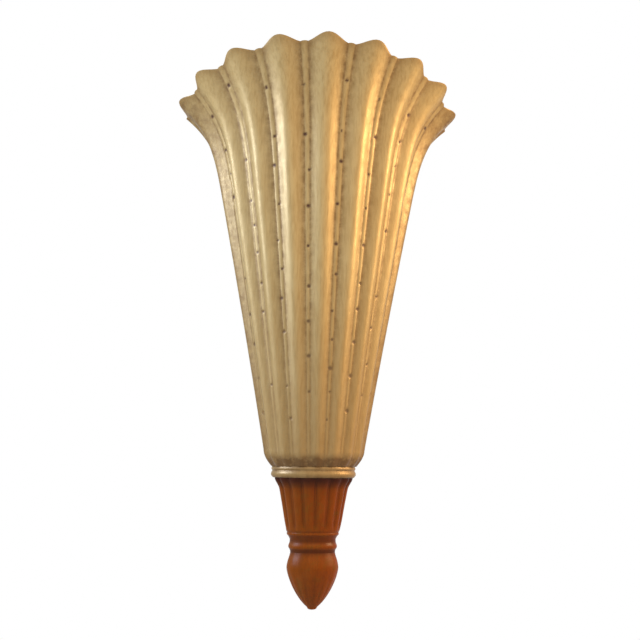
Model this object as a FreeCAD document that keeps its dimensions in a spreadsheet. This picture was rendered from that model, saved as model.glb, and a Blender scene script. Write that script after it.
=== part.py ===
"""Shell wall sconce: a half-oval gilded shell of nine lobes, open at the top and hung flat on a wall.

Millimetres, +Z up, front -Y, the wall is the plane Y = 0.  The origin is the middle of the two wall
screw holes.  Levels are given above the lower edge of the gilded collar, which lies collar_drop below
the origin.
"""
import FreeCAD, Part
import math
import os
import re
import Sketcher
from FreeCAD import Matrix, Placement, Rotation, Vector

doc = FreeCAD.newDocument("shell_wall_sconce")
sheet = doc.addObject("Spreadsheet::Sheet", "sizes")

SIZES = {
    # the fluted shell
    "collar_drop": 230.0,         # wall fixing above the collar's lower edge
    "base_half_width": 49.6,      # shell, just above its rounded foot
    "foot_rise": 15.5,            # height of the rounded foot
    "foot_inset": 8.1,            # how far the foot draws in
    "foot_roundness": 1.8,
    "taper_ratio": 0.18,          # half width gained per millimetre of height
    "swell": 3.4,                 # extra half width, reached at swell_height
    "swell_height": 229.0,
    "lip_level": 255.0,           # where the lip starts to roll out
    "lip_flare": 28.0,
    "lip_roundness": 4.3,
    "rim_level": 358.0,           # rim at the wall
    "rise_ratio": 0.64,           # rim gains this much height per millimetre of depth
    "depth_ratio": 0.65,          # depth over half width
    "lobe_count": 9,
    "relief_ratio": 0.073,        # groove depth at the rim, as a share of the half width
    "foot_relief_ratio": 0.03,
    "groove_angle": 2.8,          # width of the narrow strip between two lobes, degrees
    "shell_wall": 6.0,
    "floor_level": 30.0,
    # the turned pieces under it
    "collar_height": 10.5,
    "collar_radius": 41.1,
    "collar_groove": 0.9,
    "stem_height": 58.2,
    "stem_top_radius": 38.6,
    "stem_shoulder_radius": 33.4,
    "stem_shoulder_drop": 12.0,
    "stem_ridge_radius": 24.7,
    "stem_neck_radius": 22.0,
    "stem_ridge_drop": 52.0,
    "reed_count": 8,
    "reed_relief_ratio": 0.07,
    "bead_height": 11.2,
    "bead_radius": 23.3,
    "bead_neck_radius": 21.4,
    "finial_height": 52.4,
    "finial_radius": 24.8,
    "finial_belly_drop": 13.6,
    "finial_tip_radius": 3.2,
    "finial_relief_ratio": 0.025,
    "dowel_radius": 3.0,
    "dowel_depth": 6.6,           # dowel axis, out from the wall
    "dowel_foot": 22.0,           # into the finial
    "dowel_head": 7.0,            # into the foot of the shell
    "glue_line": 0.05,
    # back board and wall hanging
    "board_thickness": 6.0,
    "board_recess": 6.0,
    "board_foot": 20.0,
    "board_ledge": 3.0,
    "board_top": 345.0,
    "board_clearance": 0.2,
    "cleat_sheet": 1.5,
    "cleat_width": 64.0,
    "cleat_plate": 16.0,
    "cleat_flange": 10.0,
    "cleat_gap": 0.2,
    "cleat_standoff": 0.5,
    "wall_hole_radius": 2.5,
    "wall_hole_spacing": 40.0,
    "screw_radius": 1.75,
    "screw_head_radius": 3.4,
    "screw_head_height": 1.8,
    "screw_clearance": 0.05,
    "foot_screw_length": 20.0,
    "foot_screw_spacing": 32.0,
    # lamp holder and bracket
    "holder_clearance": 2.374,    # holder to the inside of the middle lobe
    "bracket_level": 200.0,       # top of the bracket's shelf
    "bracket_sheet": 2.0,
    "bracket_width": 26.0,
    "bracket_drop": 40.0,
    "bracket_end": 10.0,          # shelf past the lamp axis
    "nipple_radius": 5.0,
    "nipple_bore": 3.5,
    "nipple_length": 15.0,
    "nipple_below": 8.0,
    "nipple_nut_radius": 8.1,
    "nipple_nut_height": 3.0,
    "holder_radius": 13.5,
    "holder_height": 52.0,
    "holder_base": 3.0,
    "holder_wall": 1.8,
    "insert_height": 16.0,
    "thread_radius": 7.05,
    "thread_sheet": 0.5,
    "thread_height": 23.0,
    "thread_seat": 24.0,          # thread sleeve above the shelf
    # lamp
    "cap_radius": 6.95,
    "cap_length": 21.0,
    "leaf_thickness": 0.6,
    "leaf_radius": 3.0,
    "cap_sheet": 0.4,
    "insulator_height": 2.6,
    "tip_radius": 2.2,
    "tip_height": 1.2,
    "glass_radius": 17.5,
    "glass_length": 92.0,
    "glass_wall": 0.9,
    "glass_neck_radius": 6.3,
    "filament_length": 32.0,
    "filament_radius": 0.9,
    "filament_ring": 4.5,
    "filament_count": 4,
    # wiring
    "block_width": 33.0,
    "block_depth": 12.0,
    "block_height": 20.0,
    "block_level": 80.0,
    "way_pitch": 10.0,
    "way_radius": 2.4,
    "insert_wall": 0.7,
    "wire_radius": 1.1,
    "wire_lead": 26.0,            # live and neutral, straight above the block
    "nipple_lead": 20.0,          # and below the nipple
    "grommet_level": 58.0,
    "grommet_radius": 6.0,
    "grommet_lip": 2.0,
    "grommet_bore": 3.6,
}
# sizes that follow from others
FORMULAS = {
    "bracket_rise": "bracket_level - collar_height - foot_rise",
    # lamp axis, out from the wall: the shell's depth at the shelf, less all that stands in front of it
    "lamp_depth": "(base_half_width + taper_ratio * bracket_rise"
                  " + swell * (bracket_rise / swell_height) ^ 2) * depth_ratio"
                  " - shell_wall - holder_clearance - holder_radius",
}
for row, (alias, value) in enumerate(SIZES.items(), start=1):
    sheet.set("A%d" % row, alias)
    sheet.set("B%d" % row, str(value))
    sheet.setAlias("B%d" % row, alias)
for row, (alias, formula) in enumerate(FORMULAS.items(), start=len(SIZES) + 1):
    sheet.set("A%d" % row, alias)
    sheet.set("B%d" % row, "=" + formula)
    sheet.setAlias("B%d" % row, alias)
doc.recompute()


class Sizes:
    """The sheet's values as plain numbers."""


v = Sizes()
for alias in [*SIZES, *FORMULAS]:
    setattr(v, alias, float(sheet.get(alias)))

COLLAR = -v.collar_drop           # the level that heights are given from
NODES = []

ruler = doc.addObject("App::FeaturePython", "ruler")
ruler.addProperty("App::PropertyFloat", "Reading")


def linked(text):
    """An expression on the sheet's cells, written with their bare names."""
    return re.sub(r"[a-z]\w*", lambda word: "sizes." + word.group(0), text)


def number(text):
    """What such an expression comes to, as a plain number."""
    ruler.setExpression("Reading", linked(text))
    ruler.recompute()
    return ruler.Reading


def place(item, x="0", y="0", z="0"):
    """Bind an object's position to the sheet."""
    for axis, text in (("x", x), ("y", y), ("z", z)):
        if text != "0":
            item.setExpression("Placement.Base." + axis, linked(text))


def bind(item, **expressions):
    """Bind an object's sizes to the sheet."""
    for prop, text in expressions.items():
        item.setExpression(prop, linked(text))


def node(item, label):
    """Name a finished sub-part."""
    item.Label = label
    NODES.append(item)
    return item


def from_shape(name, shape):
    """A document object for a shape made by formula."""
    item = doc.addObject("Part::Feature", name)
    item.Shape = shape
    return item


# ---------------------------------------------------------------- sketches and bodies
def origin_plane(body, role):
    for item in body.Origin.OriginFeatures:
        if item.Role == role:
            return item
    raise RuntimeError("no plane " + role)


def outline(body, name, role, corners):
    """A closed sketch of straight lines whose corners are held by expressions on the sheet."""
    sketch = body.newObject("Sketcher::SketchObject", name)
    sketch.AttachmentSupport = [(origin_plane(body, role), "")]
    sketch.MapMode = "FlatFace"
    points = [Vector(number(a), number(b), 0) for a, b in corners]
    count = len(points)
    for i in range(count):
        sketch.addGeometry(Part.LineSegment(points[i], points[(i + 1) % count]), False)
    for i in range(count):
        sketch.addConstraint(Sketcher.Constraint("Coincident", i, 2, (i + 1) % count, 1))
    for i, corner in enumerate(corners):
        for kind, axis, text, value in (("DistanceX", -2, corner[0], points[i].x),
                                        ("DistanceY", -1, corner[1], points[i].y)):
            if abs(value) < 1e-9:
                sketch.addConstraint(Sketcher.Constraint("PointOnObject", i, 1, axis))
            else:
                index = sketch.addConstraint(Sketcher.Constraint(kind, -1, 1, i, 1, value))
                sketch.setExpression("Constraints[%d]" % index, linked(text))
    return sketch


def circles(body, name, role, spots, radius):
    """A sketch of equal circles."""
    sketch = body.newObject("Sketcher::SketchObject", name)
    sketch.AttachmentSupport = [(origin_plane(body, role), "")]
    sketch.MapMode = "FlatFace"
    for i, (a, b) in enumerate(spots):
        centre = Vector(number(a), number(b), 0)
        sketch.addGeometry(Part.Circle(centre, Vector(0, 0, 1), number(radius)), False)
        index = sketch.addConstraint(Sketcher.Constraint("Radius", i, number(radius)))
        sketch.setExpression("Constraints[%d]" % index, linked(radius))
        for kind, axis, text, value in (("DistanceX", -2, a, centre.x), ("DistanceY", -1, b, centre.y)):
            if abs(value) < 1e-9:
                sketch.addConstraint(Sketcher.Constraint("PointOnObject", i, 3, axis))
            else:
                index = sketch.addConstraint(Sketcher.Constraint(kind, -1, 1, i, 3, value))
                sketch.setExpression("Constraints[%d]" % index, linked(text))
    return sketch


def turned(name, corners, x="0", y="0", z="0"):
    """A body turned about its own Z axis from an outline of (radius, height) corners."""
    body = doc.addObject("PartDesign::Body", name)
    sketch = outline(body, name + "_outline", "XZ_Plane", corners)
    turn = body.newObject("PartDesign::Revolution", name + "_turn")
    turn.Profile = sketch
    turn.ReferenceAxis = (sketch, ["V_Axis"])
    turn.Angle = 360
    body.Tip = turn
    place(body, x, y, z)
    return node(body, name)


def profile(name, corners, width, z="0"):
    """A body of one outline in the Y-Z plane, padded both ways along X."""
    body = doc.addObject("PartDesign::Body", name)
    sketch = outline(body, name + "_outline", "YZ_Plane", corners)
    pad = body.newObject("PartDesign::Pad", name + "_pad")
    pad.Profile = sketch
    pad.Midplane = True
    bind(pad, Length=width)
    body.Tip = pad
    place(body, z=z)
    return node(body, name)


def drill(body, name, role, spots, radius):
    """Round holes right through a body, both ways from one of its origin planes."""
    doc.recompute()
    before = body.Shape.Volume
    cut = body.newObject("PartDesign::Pocket", name)
    cut.Profile = circles(body, name + "_circles", role, spots, radius)
    cut.Type = "ThroughAll"
    cut.Midplane = True
    body.Tip = cut
    doc.recompute()
    if not body.Shape.Volume < before - 1:
        raise RuntimeError(name + " cuts nothing")


# ---------------------------------------------------------------- the lobed half ovals
def half_width(level):
    """The shell's half width at the wall, at a level above the collar's lower edge."""
    foot = v.collar_height + v.foot_rise
    if level < foot:
        return v.base_half_width - v.foot_inset * ((foot - level) / v.foot_rise) ** v.foot_roundness
    up = level - foot
    width = v.base_half_width + v.taper_ratio * up + v.swell * (up / v.swell_height) ** 2
    if level > v.lip_level:
        share = (level - v.lip_level) / (v.rim_level - v.lip_level)
        width += v.lip_flare * share ** v.lip_roundness
    return width


def relief(level):
    """Groove depth as a share of the half width."""
    share = (level - v.collar_height) / (v.rim_level - v.collar_height)
    gain = v.relief_ratio - v.foot_relief_ratio
    return v.foot_relief_ratio + gain * math.sqrt(max(share, 0))


def tilt(level):
    """How steeply the section through a level climbs towards the front."""
    share = max(level - v.floor_level, 0) / (v.rim_level - v.floor_level)
    return v.rise_ratio * share ** 2


def lobed(width, depth, groove, level, slope, lobes, strip):
    """A closed half oval of round lobes with a narrow strip between them and a straight back."""
    def spot(angle, share):
        out = depth * share * math.cos(math.radians(angle))
        return Vector(width * share * math.sin(math.radians(angle)), -out, COLLAR + level + slope * out)

    pitch = 180.0 / lobes
    valley = 1 - groove
    edges = []
    last = spot(-90, valley)
    first = last
    for i in range(int(lobes)):
        middle = -90 + pitch * (i + 0.5)
        start = spot(middle - (pitch - strip) / 2, valley)
        stop = spot(middle + (pitch - strip) / 2, valley)
        edges.append(Part.LineSegment(last, start).toShape())
        edges.append(Part.Arc(start, spot(middle, 1), stop).toShape())
        last = stop
    end = spot(90, valley)
    edges.append(Part.LineSegment(last, end).toShape())
    edges.append(Part.LineSegment(end, first).toShape())
    return Part.Wire(edges)


def shell_sections(levels, inset):
    """Sections of the shell, drawn in by a wall thickness."""
    wires = []
    for level in levels:
        width = half_width(level)
        depth = width * v.depth_ratio
        wires.append(lobed(width - inset, depth - inset, relief(level), level, tilt(level),
                           v.lobe_count, v.groove_angle))
    return wires


def steps(low, high, count):
    """Evenly spaced levels from low to high."""
    return [low + (high - low) * i / count for i in range(count + 1)]


FOOT = v.collar_height
FOOT_TOP = v.collar_height + v.foot_rise
BODY_STEPS, LIP_STEPS, FOOT_STEPS = 4, 5, 3


def loft(wires):
    """A solid through the sections."""
    return Part.makeLoft(wires, True, False)


def board_face(grow, y):
    """The board's outline, face on the plane y: the shell's inner line at the back plus the ledge."""
    levels = steps(v.board_foot, v.lip_level, BODY_STEPS)
    levels += steps(v.lip_level, v.board_top, LIP_STEPS)[1:]
    side = []
    for level in levels:
        across = half_width(level) * (1 - relief(level)) - v.shell_wall + v.board_ledge + grow
        side.append(Vector(across, y, COLLAR + level))
    side[0].z -= grow
    side[-1].z += grow
    right = Part.BSplineCurve()
    right.interpolate(side)
    left = Part.BSplineCurve()
    left.interpolate([Vector(-p.x, p.y, p.z) for p in side])
    top = Part.LineSegment(side[-1], Vector(-side[-1].x, y, side[-1].z))
    foot = Part.LineSegment(Vector(-side[0].x, y, side[0].z), side[0])
    wire = Part.Wire([foot.toShape(), right.toShape(), top.toShape(),
                      left.toShape()])
    return Part.Face(wire)


BOARD_BACK = -v.board_recess
BOARD_FRONT = -(v.board_recess + v.board_thickness)


def build_shell():
    levels = steps(FOOT, FOOT_TOP, FOOT_STEPS) + steps(FOOT_TOP, v.lip_level, BODY_STEPS)[1:]
    levels += steps(v.lip_level, v.rim_level, LIP_STEPS)[1:]
    outer = loft(shell_sections(levels, 0))
    levels = steps(v.floor_level, v.lip_level, BODY_STEPS)
    levels += steps(v.lip_level, v.rim_level + v.shell_wall, LIP_STEPS + 1)[1:]
    inner = loft(shell_sections(levels, v.shell_wall))
    shell = outer.cut(inner)
    rebate = board_face(v.board_clearance, BOARD_FRONT).extrude(Vector(0, v.board_recess * 3, 0))
    shell = shell.cut(rebate)
    for side in (-1, 1):
        hole = Part.makeCylinder(v.screw_radius + v.screw_clearance, v.foot_screw_length,
                                 Vector(side * v.foot_screw_spacing / 2, BOARD_BACK, FOOT_SCREW_LEVEL),
                                 Vector(0, -1, 0))
        shell = shell.cut(hole)
    return shell.cut(dowel_hole())


def dowel_hole():
    low = COLLAR - DOWEL_FOOT
    length = DOWEL_FOOT + v.collar_height + v.dowel_head
    return Part.makeCylinder(v.dowel_radius + v.glue_line, length, Vector(0, -v.dowel_depth, low))


DOWEL_FOOT = v.stem_height + v.bead_height + v.dowel_foot
FOOT_SCREW_LEVEL = COLLAR + (v.board_foot + v.floor_level) / 2


def half_turned(points, top):
    """A solid of a half-oval section: (radius, depth below top) points, smooth, flat at the back."""
    curve = Part.BSplineCurve()
    curve.interpolate([Vector(radius, 0, top - drop) for radius, drop in points])
    first, last = points[0], points[-1]
    upper = Vector(0, 0, top - first[1])
    lower = Vector(0, 0, top - last[1])
    edges = [Part.LineSegment(upper, Vector(first[0], 0, upper.z)).toShape(), curve.toShape(),
             Part.LineSegment(Vector(last[0], 0, lower.z), lower).toShape(),
             Part.LineSegment(lower, upper).toShape()]
    solid = Part.Face(Part.Wire(edges)).revolve(Vector(0, 0, 0), Vector(0, 0, 1), -180)
    flatten = Matrix()
    flatten.scale(Vector(1, v.depth_ratio, 1))
    return solid.transformGeometry(flatten)


def reeded(radii, relief_share):
    """A loft of reeded half ovals through (radius, level) pairs."""
    wires = [lobed(radius, radius * v.depth_ratio, relief_share, level, 0, v.reed_count,
                   v.groove_angle) for radius, level in radii]
    return loft(wires)


def build_collar():
    """Upper band and lower bead with a groove between them."""
    band = v.collar_radius
    dip = v.collar_groove
    up = v.collar_height
    points = [(band - dip * 0.2, 0), (band, up * 0.2), (band - dip, up * 0.45),
              (band + dip * 0.1, up * 0.7), (band - dip * 0.7, up * 0.92), (band - dip * 1.9, up)]
    return half_turned(points, COLLAR + up).cut(dowel_hole())


def build_stem():
    """Flared, reeded and tapered, with a thin ridge and a cove at its foot."""
    shoulder = v.stem_shoulder_drop
    flare = v.stem_top_radius - v.stem_shoulder_radius
    radii = [(v.stem_top_radius, 0), (v.stem_top_radius - flare * 0.23, -shoulder * 0.25),
             (v.stem_shoulder_radius + flare * 0.17, -shoulder * 0.7),
             (v.stem_shoulder_radius, -shoulder)]
    for share in (0.33, 0.66, 0.92):
        radius = v.stem_shoulder_radius * (1 - share) + v.stem_ridge_radius * share
        radii.append((radius, -shoulder * (1 - share) - v.stem_ridge_drop * share))
    upper = reeded(radii, v.reed_relief_ratio)
    radius, level = radii[-1]
    foot = v.stem_height + level
    cove = v.stem_ridge_radius - v.stem_neck_radius
    points = [(radius * (1 - v.reed_relief_ratio), -level),
              (v.stem_ridge_radius, foot * 0.17 - level),
              (v.stem_ridge_radius + cove * 0.07, foot * 0.32 - level),
              (v.stem_neck_radius + cove * 0.22, foot * 0.6 - level),
              (v.stem_neck_radius, v.stem_height)]
    return upper.fuse(half_turned(points, COLLAR)).removeSplitter().cut(dowel_hole())


def build_bead():
    tall = v.bead_height
    upper = v.bead_radius - v.stem_neck_radius
    lower = v.bead_radius - v.bead_neck_radius
    points = [(v.stem_neck_radius, 0), (v.stem_neck_radius + upper * 0.23, tall * 0.2),
              (v.bead_radius, tall * 0.5), (v.bead_neck_radius + lower * 0.32, tall * 0.78),
              (v.bead_neck_radius, tall)]
    return half_turned(points, COLLAR - v.stem_height).cut(dowel_hole())


def build_finial():
    """A bud: full below its neck, drawn to a blunt tip, faintly reeded."""
    top = v.stem_height + v.bead_height
    belly = v.finial_belly_drop
    radii = []
    for share in (0, 0.35, 0.7, 1):
        swell = math.sin(math.radians(90 * share))
        radius = v.bead_neck_radius + (v.finial_radius - v.bead_neck_radius) * swell
        radii.append((radius, -top - belly * share))
    for share in (0.2, 0.4, 0.6, 0.78, 0.9, 0.97, 1):
        radius = max(v.finial_radius * (1 - share ** 1.5) ** 0.7, v.finial_tip_radius)
        radii.append((radius, -top - belly - (v.finial_height - belly) * share))
    return reeded(radii, v.finial_relief_ratio).cut(dowel_hole())


node(from_shape("shell", build_shell()), "shell")
node(from_shape("collar", build_collar()), "collar")
node(from_shape("stem", build_stem()), "stem")
node(from_shape("bead_ring", build_bead()), "bead_ring")
node(from_shape("finial", build_finial()), "finial")


# ---------------------------------------------------------------- simple solids bound to the sheet
def rod(name, radius, height, x="0", y="0", z="0", towards="up"):
    """A cylinder; towards is up, or front for one that runs towards -Y."""
    item = doc.addObject("Part::Cylinder", name)
    if towards == "front":
        item.Placement = Placement(Vector(), Rotation(Vector(1, 0, 0), 90))
    bind(item, Radius=radius, Height=height)
    place(item, x, y, z)
    return item


def block(name, length, width, height, x="0", y="0", z="0"):
    item = doc.addObject("Part::Box", name)
    bind(item, Length=length, Width=width, Height=height)
    place(item, x, y, z)
    return item


def fused(name, items):
    item = doc.addObject("Part::MultiFuse", name)
    item.Shapes = items
    return item


def group(name, items):
    item = doc.addObject("Part::Compound", name)
    item.Links = items
    return item


def cut(name, base, tools):
    item = doc.addObject("Part::Cut", name)
    item.Base = base
    item.Tool = tools[0] if len(tools) == 1 else fused(name + "_tools", tools)
    return item


def screws(name, spots, face, length, head="screw_head_height"):
    """Pan-head screws driven towards the front; face is where their heads seat."""
    items = []
    for i, (x, z) in enumerate(spots):
        cap = rod("%s_head_%d" % (name, i), "screw_head_radius", head, x,
                  "%s + %s" % (face, head), z, "front")
        shank = rod("%s_shank_%d" % (name, i), "screw_radius", length, x, face, z, "front")
        items.append(fused("%s_%d" % (name, i), [cap, shank]))
    return node(group(name, items), name)


def pair(spacing):
    return ["-%s / 2" % spacing, "%s / 2" % spacing]


# ---------------------------------------------------------------- back board and hanging cleats
BOARD_FACE = "-(board_recess + board_thickness)"
LEVEL = "-collar_drop + "
FOOT_SCREW_Z = LEVEL + "(board_foot + floor_level) / 2"
CLEAT_TOP = "cleat_plate / 2 + cleat_sheet + cleat_flange"
CLEAT_SCREW_Z = CLEAT_TOP + " + cleat_sheet + cleat_plate / 2"
BRACKET_SCREW_Z = LEVEL + "bracket_level - bracket_drop * 0.72"
EARTH_Z = LEVEL + "bracket_level - bracket_drop * 0.3"
BLOCK_SCREW_Z = LEVEL + "block_level + block_height / 2"

board = from_shape("board_blank", board_face(0, BOARD_FRONT).extrude(Vector(0, v.board_thickness, 0)))
HOLE = "screw_radius + screw_clearance"
THROUGH = "board_thickness * 3"
holes = []
for i, x in enumerate(pair("foot_screw_spacing")):
    holes.append(rod("board_foot_hole_%d" % i, HOLE, THROUGH, x, "0", FOOT_SCREW_Z, "front"))
for i, x in enumerate(pair("wall_hole_spacing")):
    holes.append(rod("board_cleat_hole_%d" % i, HOLE, THROUGH, x, "0", CLEAT_SCREW_Z, "front"))
for i, x in enumerate(pair("bracket_width * 0.6")):
    holes.append(rod("board_bracket_hole_%d" % i, HOLE, THROUGH, x, "0", BRACKET_SCREW_Z, "front"))
for i, x in enumerate(pair("way_pitch")):
    holes.append(rod("board_block_hole_%d" % i, HOLE, THROUGH, x, "0", BLOCK_SCREW_Z, "front"))
holes.append(rod("board_earth_hole", HOLE, THROUGH, "0", "0", EARTH_Z, "front"))
holes.append(rod("board_entry_hole", "grommet_radius", THROUGH, "0", "0", LEVEL + "grommet_level",
                 "front"))
node(cut("back_board", board, holes), "back_board")

STANDOFF = "(cleat_standoff + cleat_sheet + cleat_gap)"
wall_cleat = profile("wall_cleat", [
    ("0", "-cleat_plate / 2"),
    ("0", "cleat_plate / 2 + cleat_sheet"),
    ("-" + STANDOFF, "cleat_plate / 2 + cleat_sheet"),
    ("-" + STANDOFF, CLEAT_TOP),
    ("-" + STANDOFF + " - cleat_sheet", CLEAT_TOP),
    ("-" + STANDOFF + " - cleat_sheet", "cleat_plate / 2"),
    ("-cleat_sheet", "cleat_plate / 2"),
    ("-cleat_sheet", "-cleat_plate / 2"),
], "cleat_width")
drill(wall_cleat, "wall_holes", "XZ_Plane", [(x, "0") for x in pair("wall_hole_spacing")],
      "wall_hole_radius")

board_cleat = profile("board_cleat", [
    ("-board_recess", CLEAT_TOP),
    ("-board_recess", CLEAT_TOP + " + cleat_sheet + cleat_plate"),
    ("-board_recess + cleat_sheet", CLEAT_TOP + " + cleat_sheet + cleat_plate"),
    ("-board_recess + cleat_sheet", CLEAT_TOP + " + cleat_sheet"),
    ("-cleat_standoff", CLEAT_TOP + " + cleat_sheet"),
    ("-cleat_standoff", CLEAT_TOP + " - cleat_flange + 1"),
    ("-cleat_standoff - cleat_sheet", CLEAT_TOP + " - cleat_flange + 1"),
    ("-cleat_standoff - cleat_sheet", CLEAT_TOP),
], "cleat_width")
drill(board_cleat, "cleat_holes", "XZ_Plane",
      [(x, CLEAT_SCREW_Z) for x in pair("wall_hole_spacing")], HOLE)
screws("cleat_screws", [(x, CLEAT_SCREW_Z) for x in pair("wall_hole_spacing")],
       "-board_recess + cleat_sheet", "cleat_sheet + board_thickness")
screws("board_screws", [(x, FOOT_SCREW_Z) for x in pair("foot_screw_spacing")],
       "-board_recess", "foot_screw_length")
node(rod("stem_dowel", "dowel_radius",
         "stem_height + bead_height + dowel_foot + collar_height + dowel_head", "0", "-dowel_depth",
         "-collar_drop - stem_height - bead_height - dowel_foot"), "stem_dowel")

# ---------------------------------------------------------------- lamp bracket and holder
bracket = profile("lamp_bracket", [
    (BOARD_FACE, "bracket_level - bracket_drop"),
    (BOARD_FACE, "bracket_level"),
    ("-lamp_depth - bracket_end", "bracket_level"),
    ("-lamp_depth - bracket_end", "bracket_level - bracket_sheet"),
    (BOARD_FACE + " - bracket_sheet", "bracket_level - bracket_sheet"),
    (BOARD_FACE + " - bracket_sheet", "bracket_level - bracket_drop"),
], "bracket_width", "-collar_drop")
drill(bracket, "nipple_hole", "XY_Plane", [("0", "-lamp_depth")], "nipple_radius + screw_clearance")
drill(bracket, "bracket_holes", "XZ_Plane",
      [(x, "bracket_level - bracket_drop * 0.72") for x in pair("bracket_width * 0.6")]
      + [("0", "bracket_level - bracket_drop * 0.3")], HOLE)
SHELF = LEVEL + "bracket_level"


def front_screws(name, spots, face, length):
    """Pan-head screws driven towards the wall; face is where their heads seat."""
    items = []
    for i, (x, z) in enumerate(spots):
        cap = rod("%s_head_%d" % (name, i), "screw_head_radius", "screw_head_height", x, face, z, "front")
        shank = rod("%s_shank_%d" % (name, i), "screw_radius", length, x,
                    "%s + %s" % (face, length), z, "front")
        items.append(fused("%s_%d" % (name, i), [cap, shank]))
    return node(group(name, items), name)


BRACKET_FACE = BOARD_FACE + " - bracket_sheet"
front_screws("bracket_screws", [(x, BRACKET_SCREW_Z) for x in pair("bracket_width * 0.6")],
             BRACKET_FACE, "(board_thickness + bracket_sheet)")
front_screws("earth_screw", [("0", EARTH_Z)], BRACKET_FACE, "(board_thickness + bracket_sheet)")

turned("nipple", [("nipple_bore", "0"), ("nipple_radius", "0"), ("nipple_radius", "nipple_length"),
                  ("nipple_bore", "nipple_length")],
       y="-lamp_depth", z=SHELF + " - nipple_below")
nut = doc.addObject("Part::Prism", "nut_blank")
nut.Polygon = 6
bind(nut, Circumradius="nipple_nut_radius", Height="nipple_nut_height")
NUT_Z = SHELF + " - bracket_sheet - nipple_nut_height"
place(nut, y="-lamp_depth", z=NUT_Z)
nut_bore = rod("nut_bore", "nipple_radius + screw_clearance", "nipple_nut_height", y="-lamp_depth",
               z=NUT_Z)
node(cut("nipple_nut", nut, [nut_bore]), "nipple_nut")

INSIDE = "holder_radius - holder_wall"
MOUTH = "thread_radius + thread_sheet + 0.6"
turned("holder_body", [
    ("nipple_radius + screw_clearance", "0"), ("holder_radius", "0"), ("holder_radius", "holder_height"),
    (MOUTH, "holder_height"), (MOUTH, "holder_height - holder_base"),
    (INSIDE, "holder_height - holder_base"), (INSIDE, "holder_base"),
    ("nipple_radius + screw_clearance", "holder_base")],
    y="-lamp_depth", z=SHELF)
turned("holder_insert", [
    ("0", "0"), (INSIDE + " - screw_clearance", "0"), (INSIDE + " - screw_clearance", "insert_height"),
    ("0", "insert_height")],
    y="-lamp_depth", z=SHELF + " + thread_seat - insert_height")
turned("holder_thread", [
    ("thread_radius", "0"), ("thread_radius + thread_sheet", "0"),
    ("thread_radius + thread_sheet", "thread_height"), ("thread_radius", "thread_height")],
    y="-lamp_depth", z=SHELF + " + thread_seat")
node(rod("holder_contact", "leaf_radius", "leaf_thickness", y="-lamp_depth",
         z=SHELF + " + thread_seat"), "holder_contact")

# ---------------------------------------------------------------- lamp
TIP = SHELF + " + thread_seat + leaf_thickness"
CAP = TIP + " + tip_height + insulator_height"
turned("bulb_contact", [
    ("0", "0"), ("tip_radius", "0"), ("tip_radius", "tip_height"), ("cap_radius * 0.72", "tip_height"),
    ("cap_radius - cap_sheet", "tip_height + insulator_height"), ("0", "tip_height + insulator_height")],
    y="-lamp_depth", z=TIP)
turned("bulb_cap", [
    ("cap_radius - cap_sheet", "0"), ("cap_radius", "0"), ("cap_radius", "cap_length"),
    ("cap_radius - cap_sheet", "cap_length")],
    y="-lamp_depth", z=CAP)

CAP_TOP = number(CAP) + v.cap_length
NECK_DROP = 6.0
BELLY = 0.39


def candle_line(radius, neck, tip, belly):
    """The neck, the swell to the belly and the long curve to the tip, from the bottom up."""
    curve = Part.BSplineCurve()
    curve.interpolate([
        Vector(neck, 0, 0),
        Vector(neck + (radius - neck) * 0.68, 0, belly * 0.5),
        Vector(radius, 0, belly),
        Vector(radius * 0.72, 0, belly + (tip - belly) * 0.52),
        Vector(radius * 0.24, 0, belly + (tip - belly) * 0.92),
        Vector(0, 0, tip)])
    return curve.toShape()


def build_glass():
    """A candle-shaped envelope: one wall turned about the lamp axis."""
    wall = v.glass_wall
    neck = v.glass_neck_radius
    belly = v.glass_length * BELLY
    edges = [
        Part.LineSegment(Vector(neck - wall, 0, -NECK_DROP), Vector(neck, 0, -NECK_DROP)).toShape(),
        Part.LineSegment(Vector(neck, 0, -NECK_DROP), Vector(neck, 0, 0)).toShape(),
        candle_line(v.glass_radius, neck, v.glass_length, belly),
        Part.LineSegment(Vector(0, 0, v.glass_length), Vector(0, 0, v.glass_length - wall)).toShape(),
        candle_line(v.glass_radius - wall, neck - wall, v.glass_length - wall, belly),
        Part.LineSegment(Vector(neck - wall, 0, 0), Vector(neck - wall, 0, -NECK_DROP)).toShape(),
    ]
    face = Part.Face(Part.Wire(Part.__sortEdges__(edges)))
    solid = face.revolve(Vector(0, 0, 0), Vector(0, 0, 1), 360)
    solid.translate(Vector(0, -v.lamp_depth, CAP_TOP))
    return solid


node(from_shape("bulb_glass", build_glass()), "bulb_glass")
STEM_FOOT = CAP + " + cap_length - %s" % NECK_DROP
turned("bulb_stem", [
    ("0", "0"), ("glass_neck_radius - glass_wall", "0"), ("glass_neck_radius - glass_wall", "1.5"),
    ("tip_radius", "1.5"), ("tip_radius", "filament_length - 1"),
    ("filament_ring + filament_radius", "filament_length - 1"),
    ("filament_ring + filament_radius", "filament_length"), ("0", "filament_length")],
    y="-lamp_depth", z=STEM_FOOT)
sticks = []
for i in range(int(v.filament_count)):
    turn = 360 * (i + 0.5) / v.filament_count
    stick = rod("filament_%d" % i, "filament_radius", "filament_length",
                x="filament_ring * %.6f" % math.cos(math.radians(turn)),
                y="-lamp_depth + filament_ring * %.6f" % math.sin(math.radians(turn)),
                z=STEM_FOOT + " + filament_length")
    sticks.append(stick)
node(group("bulb_filaments", sticks), "bulb_filaments")

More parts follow.
